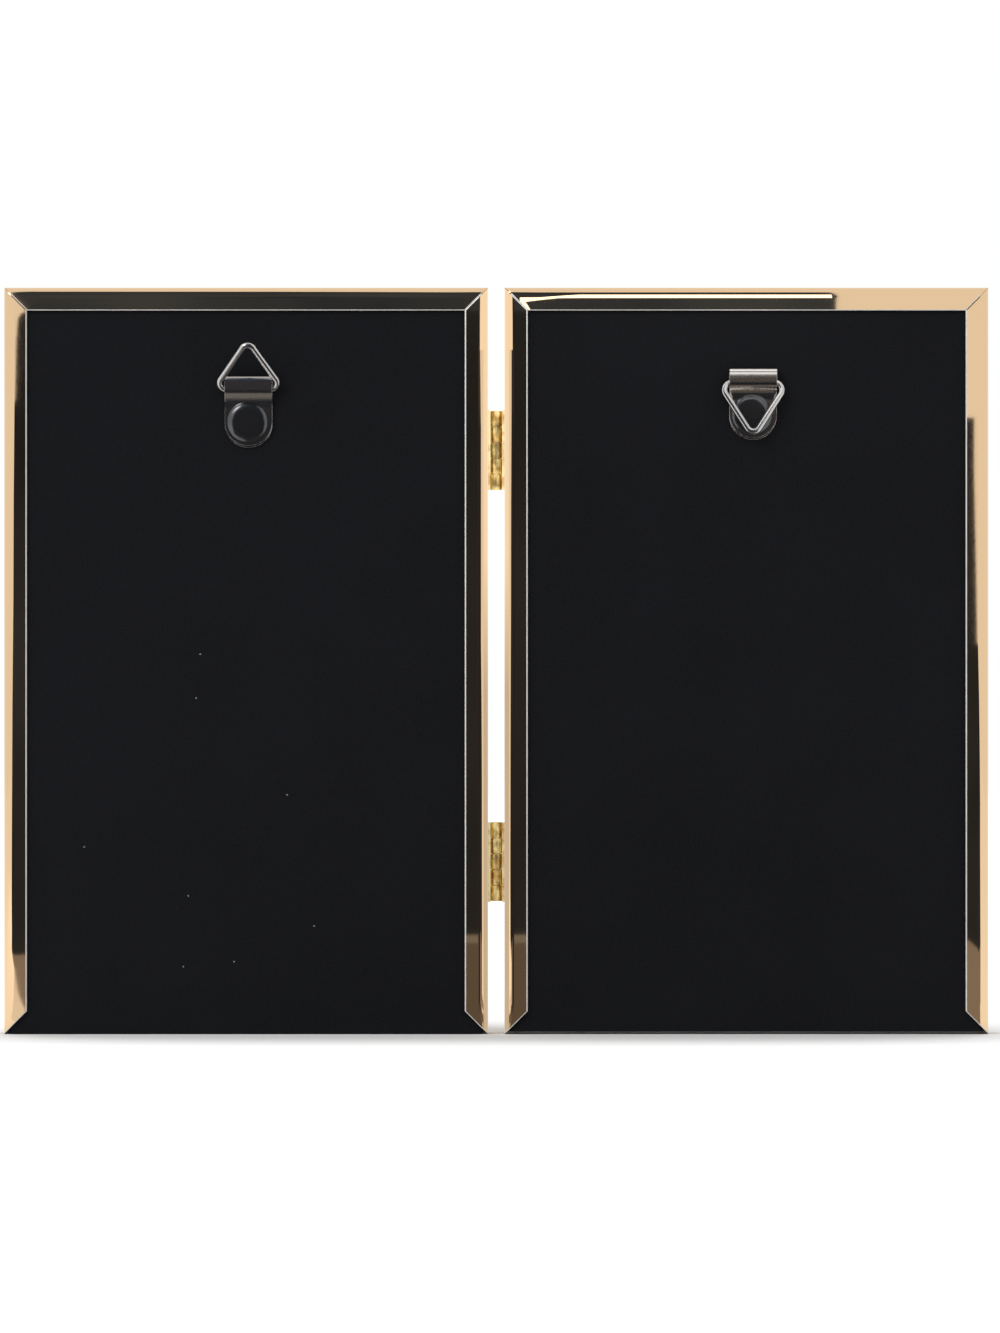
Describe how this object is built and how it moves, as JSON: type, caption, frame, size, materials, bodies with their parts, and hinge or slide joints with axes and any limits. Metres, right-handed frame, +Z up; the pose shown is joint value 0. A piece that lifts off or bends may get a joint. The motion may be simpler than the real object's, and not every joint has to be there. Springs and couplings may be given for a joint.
{
  "type": "hinged double picture frame",
  "caption": "Two upright metal picture frames joined by butt hinges, with slide-in flocked backs and triangular hanging rings on folded straps.",
  "frame": {"origin": "on the floor, at the middle of the box of the whole part as it stands opened flat", "axes": "+X from the left frame to the right one as seen from behind, +Y towards the glass, +Z up"},
  "size_m": [0.2156, 0.0182, 0.1635],
  "materials": {
    "gold_sheet": "mirror-polished gold plate",
    "glass": "clear float glass",
    "paper": "plain uncoated paper",
    "fibreboard": "raw fibreboard",
    "flocked_cover": "black flock",
    "nickel_steel": "nickel-plated steel",
    "hinge_brass": "bright yellow brass"
  },
  "bodies": {
    "left_frame": {"left_top_rail": "gold_sheet", "left_outer_rail": "gold_sheet", "left_hinge_rail": "gold_sheet", "left_bottom_rail": "gold_sheet", "left_glass": "glass", "left_photo_insert": "paper", "upper_hinge_left_leaf": "hinge_brass", "lower_hinge_left_leaf": "hinge_brass", "upper_hinge_pin": "hinge_brass", "lower_hinge_pin": "hinge_brass"},
    "right_frame": {"right_top_rail": "gold_sheet", "right_outer_rail": "gold_sheet", "right_hinge_rail": "gold_sheet", "right_bottom_rail": "gold_sheet", "right_glass": "glass", "right_photo_insert": "paper", "upper_hinge_right_leaf": "hinge_brass", "lower_hinge_right_leaf": "hinge_brass"},
    "left_back": {"left_back_board": "fibreboard", "left_board_cover": "flocked_cover", "left_hanger_strap": "nickel_steel", "left_hanger_rivet": "nickel_steel"},
    "right_back": {"right_back_board": "fibreboard", "right_board_cover": "flocked_cover", "right_hanger_strap": "nickel_steel", "right_hanger_rivet": "nickel_steel"},
    "left_ring": {"left_hanger_ring": "nickel_steel"},
    "right_ring": {"right_hanger_ring": "nickel_steel"}
  },
  "joints": [
    {"name": "frame_fold", "type": "hinge", "parent": "left_frame", "child": "right_frame", "pos_m": [0, 0.00727, 0.08], "axis": [0, 0, 1], "range_deg": [-20, 180]},
    {"name": "left_board_slide", "type": "slide", "parent": "left_frame", "child": "left_back", "axis": [0, 0, -1], "range_m": [-0.0006, 0.162]},
    {"name": "right_board_slide", "type": "slide", "parent": "right_frame", "child": "right_back", "axis": [0, 0, -1], "range_m": [0, 0.162]},
    {"name": "left_ring_swing", "type": "hinge", "parent": "left_back", "child": "left_ring", "pos_m": [-0.0542, -0.00271, 0.141], "axis": [1, 0, 0], "range_deg": [0, 138.5]},
    {"name": "right_ring_swing", "type": "hinge", "parent": "right_back", "child": "right_ring", "pos_m": [0.0562, -0.00271, 0.1427], "axis": [1, 0, 0], "range_deg": [-138.5, 0]}
  ]
}
